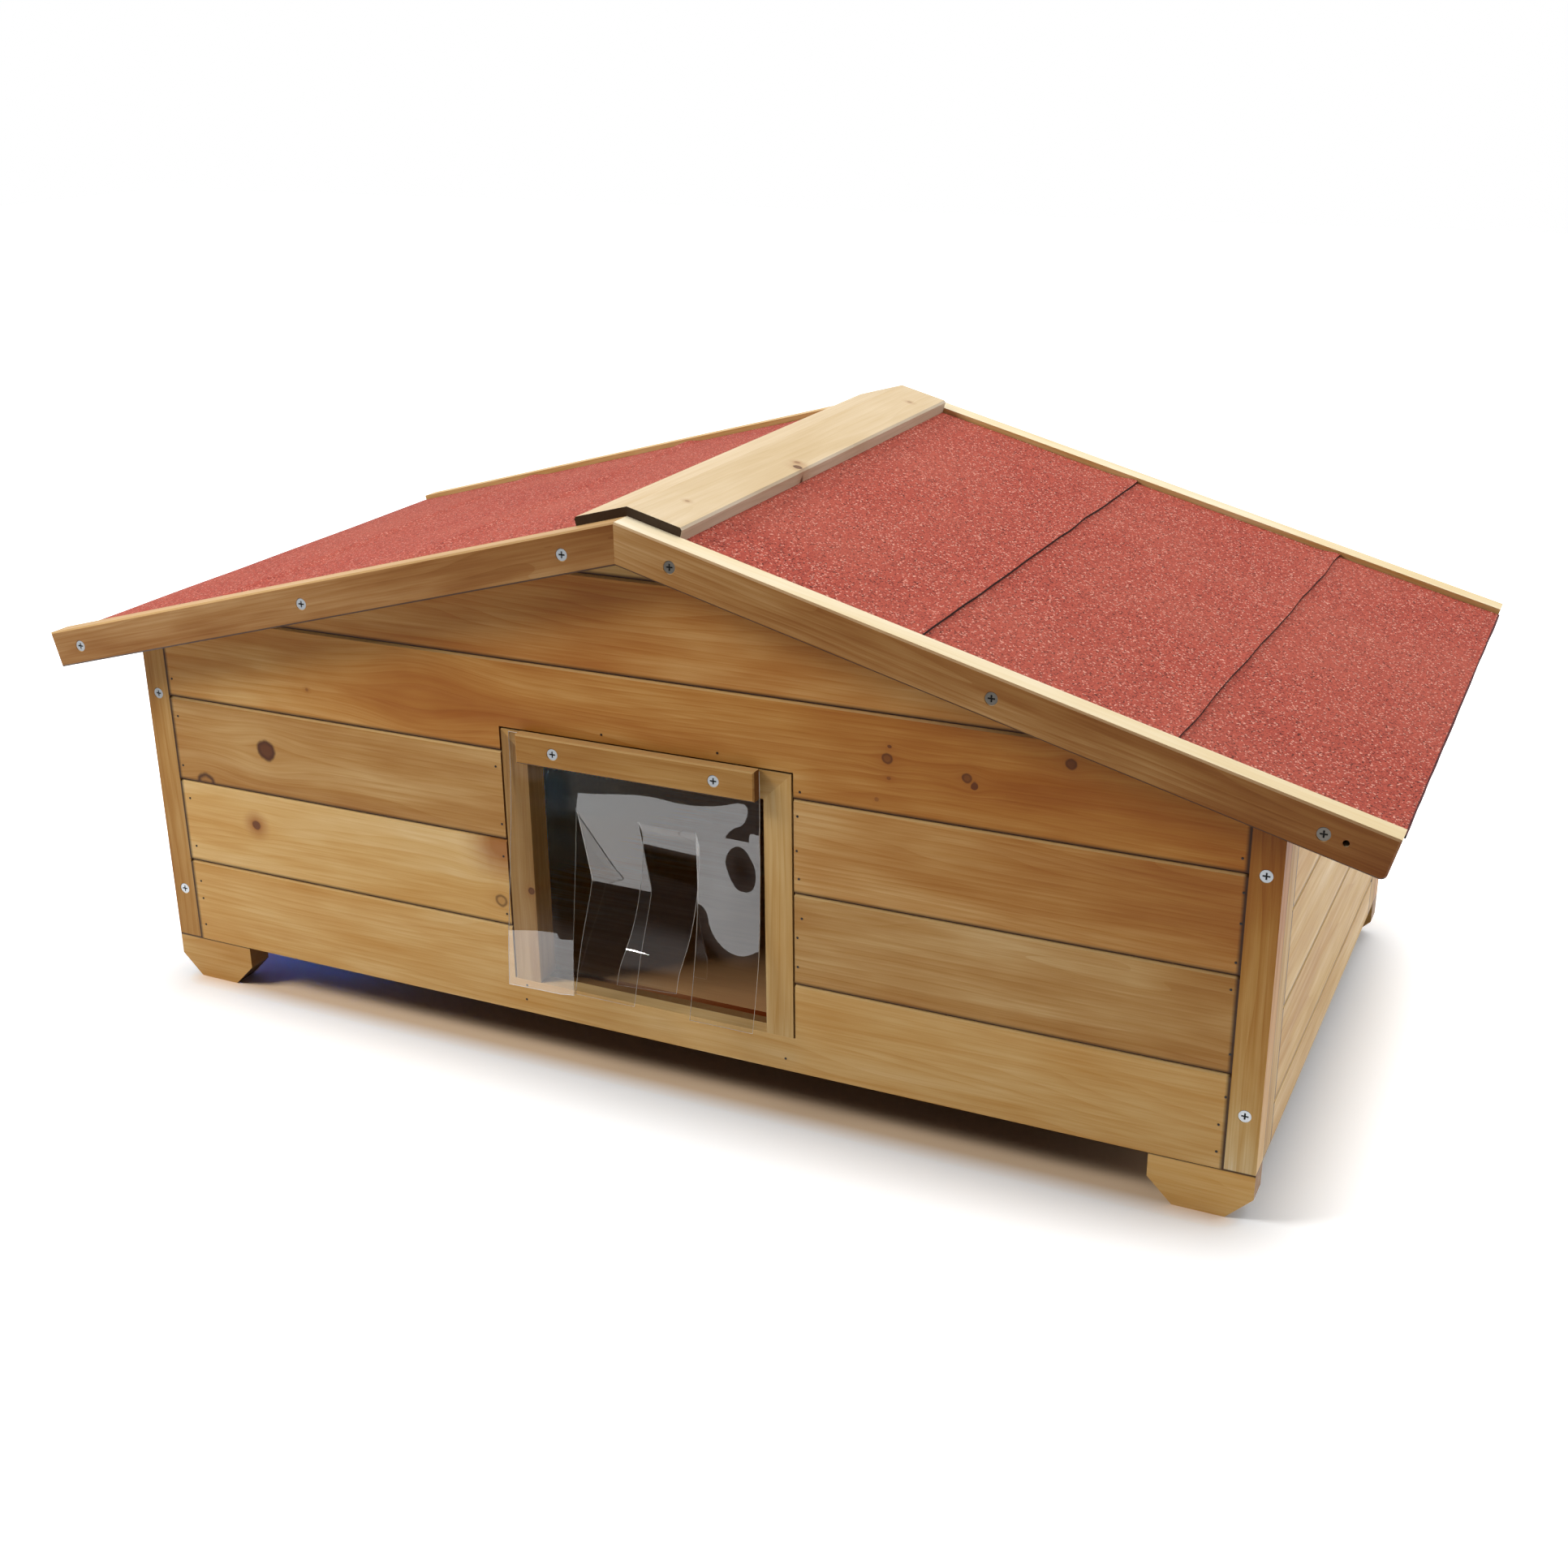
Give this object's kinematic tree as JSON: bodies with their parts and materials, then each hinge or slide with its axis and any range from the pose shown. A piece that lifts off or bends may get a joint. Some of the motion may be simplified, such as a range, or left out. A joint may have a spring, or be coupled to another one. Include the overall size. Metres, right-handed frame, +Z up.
{
  "type": "outdoor cat house",
  "caption": "Low wooden cat house on four feet with a doorway closed by a clear strip curtain, under a felted gable roof that lifts off.",
  "frame": {"origin": "on the ground, under the middle of the roof", "axes": "+Z up, +X to the right along the front wall, +Y from the doorway to the rear wall"},
  "size_m": [0.9814, 0.504, 0.4187],
  "materials": {
    "stained_wood": "honey brown stain on spruce, satin",
    "raw_wood": "planed spruce, unfinished",
    "roof_felt": "red mineral granules on bitumen felt",
    "clear_pvc": "clear flexible sheet",
    "zinc_screw": "bright zinc plate"
  },
  "bodies": {
    "house": {"curtain_clamp": "stained_wood", "curtain_header": "clear_pvc", "door_head": "stained_wood", "door_jamb_left": "stained_wood", "door_jamb_right": "stained_wood", "eaves_rails": "stained_wood", "floor_panel": "raw_wood", "foot_front_left": "stained_wood", "foot_front_right": "stained_wood", "foot_rear_left": "stained_wood", "foot_rear_right": "stained_wood", "front_board_1": "stained_wood", "front_board_2_left": "stained_wood", "front_board_2_right": "stained_wood", "front_board_3_left": "stained_wood", "front_board_3_right": "stained_wood", "front_board_4": "stained_wood", "front_gable_board": "stained_wood", "front_gable_peak": "stained_wood", "front_post_left": "stained_wood", "front_post_right": "stained_wood", "house_screws": "zinc_screw", "inner_laths": "raw_wood", "left_side_board_1": "stained_wood", "left_side_board_2": "stained_wood", "left_side_board_3": "stained_wood", "left_side_board_4": "stained_wood", "rear_board_1": "stained_wood", "rear_board_2": "stained_wood", "rear_board_3": "stained_wood", "rear_board_4": "stained_wood", "rear_gable_board": "stained_wood", "rear_gable_peak": "stained_wood", "rear_post_left": "stained_wood", "rear_post_right": "stained_wood", "right_side_board_1": "stained_wood", "right_side_board_2": "stained_wood", "right_side_board_3": "stained_wood", "right_side_board_4": "stained_wood", "side_posts": "stained_wood"},
    "roof": {"fascia_front_left": "stained_wood", "fascia_front_right": "stained_wood", "fascia_rear_left": "stained_wood", "fascia_rear_right": "stained_wood", "felt_lower_left": "roof_felt", "felt_lower_right": "roof_felt", "felt_middle_left": "roof_felt", "felt_middle_right": "roof_felt", "felt_upper_left": "roof_felt", "felt_upper_right": "roof_felt", "ridge_board_left": "stained_wood", "ridge_board_right": "stained_wood", "roof_deck_left": "raw_wood", "roof_deck_right": "raw_wood", "roof_screws": "zinc_screw"},
    "strip_1": {"curtain_strip_1": "clear_pvc"},
    "strip_2": {"curtain_strip_2": "clear_pvc"},
    "strip_3": {"curtain_strip_3": "clear_pvc"},
    "strip_4": {"curtain_strip_4": "clear_pvc"}
  },
  "joints": [
    {"name": "roof_lift", "type": "slide", "parent": "house", "child": "roof", "axis": [0, 0, 1], "range_m": [0, 0.16]},
    {"name": "strip_1_swing", "type": "hinge", "parent": "house", "child": "strip_1", "pos_m": [0, -0.22865, 0.2], "axis": [1, 0, 0], "range_deg": [-75, 0]},
    {"name": "strip_2_swing", "type": "hinge", "parent": "house", "child": "strip_2", "pos_m": [0, -0.22865, 0.2], "axis": [1, 0, 0], "range_deg": [-75, 75]},
    {"name": "strip_3_swing", "type": "hinge", "parent": "house", "child": "strip_3", "pos_m": [0, -0.22865, 0.2], "axis": [1, 0, 0], "range_deg": [-75, 75]},
    {"name": "strip_4_swing", "type": "hinge", "parent": "house", "child": "strip_4", "pos_m": [0, -0.22865, 0.2], "axis": [1, 0, 0], "range_deg": [-75, 75]}
  ]
}
